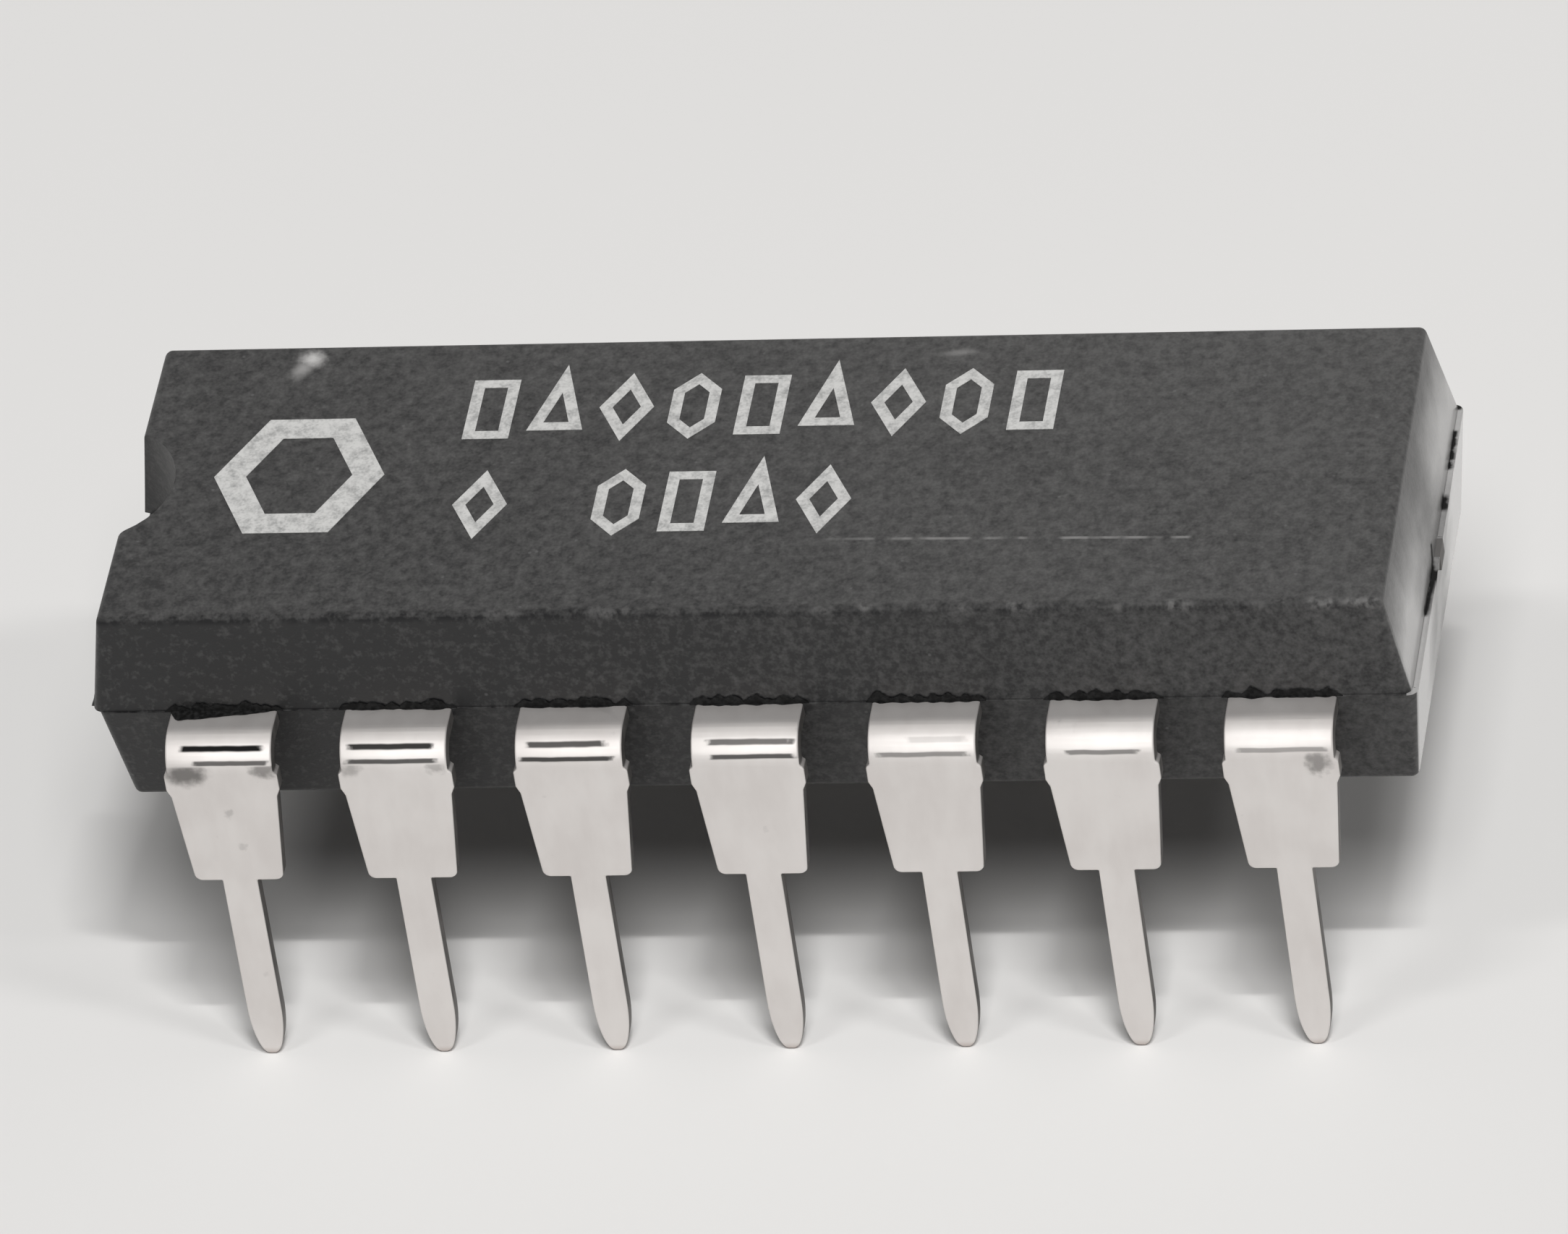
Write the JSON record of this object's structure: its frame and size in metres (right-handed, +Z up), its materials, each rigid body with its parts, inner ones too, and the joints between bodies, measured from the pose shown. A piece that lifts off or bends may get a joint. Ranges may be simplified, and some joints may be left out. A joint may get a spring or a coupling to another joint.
{
  "type": "dual in-line integrated circuit",
  "caption": "Moulded dual in-line integrated circuit with a pin 1 notch and two rows of formed leads, standing on its lead tips.",
  "frame": {"origin": "middle of the footprint, in the plane of the lead tips", "axes": "+X along the rows from the pin 1 notch to the far end, +Y from the front row to the back row, +Z up from the lead tips to the marked face"},
  "size_m": [0.019, 0.0086, 0.0071],
  "materials": {
    "moulding": "matte moulded epoxy",
    "tinned_lead": "satin tin plating",
    "lead_frame": "satin copper alloy strip",
    "adhesive": "silver-filled adhesive",
    "silicon": "polished silicon",
    "gold_wire": "drawn gold"
  },
  "bodies": {
    "root": {"moulded_body": "moulding", "lead_01": "tinned_lead", "lead_02": "tinned_lead", "lead_03": "tinned_lead", "lead_04": "tinned_lead", "lead_05": "tinned_lead", "lead_06": "tinned_lead", "lead_07": "tinned_lead", "lead_08": "tinned_lead", "lead_09": "tinned_lead", "lead_10": "tinned_lead", "lead_11": "tinned_lead", "lead_12": "tinned_lead", "lead_13": "tinned_lead", "lead_14": "tinned_lead", "die_pad": "lead_frame", "die_attach": "adhesive", "silicon_die": "silicon", "bond_wire_01": "gold_wire", "bond_wire_02": "gold_wire", "bond_wire_03": "gold_wire", "bond_wire_04": "gold_wire", "bond_wire_05": "gold_wire", "bond_wire_06": "gold_wire", "bond_wire_07": "gold_wire", "bond_wire_08": "gold_wire", "bond_wire_09": "gold_wire", "bond_wire_10": "gold_wire", "bond_wire_11": "gold_wire", "bond_wire_12": "gold_wire", "bond_wire_13": "gold_wire", "bond_wire_14": "gold_wire"}
  },
  "joints": []
}
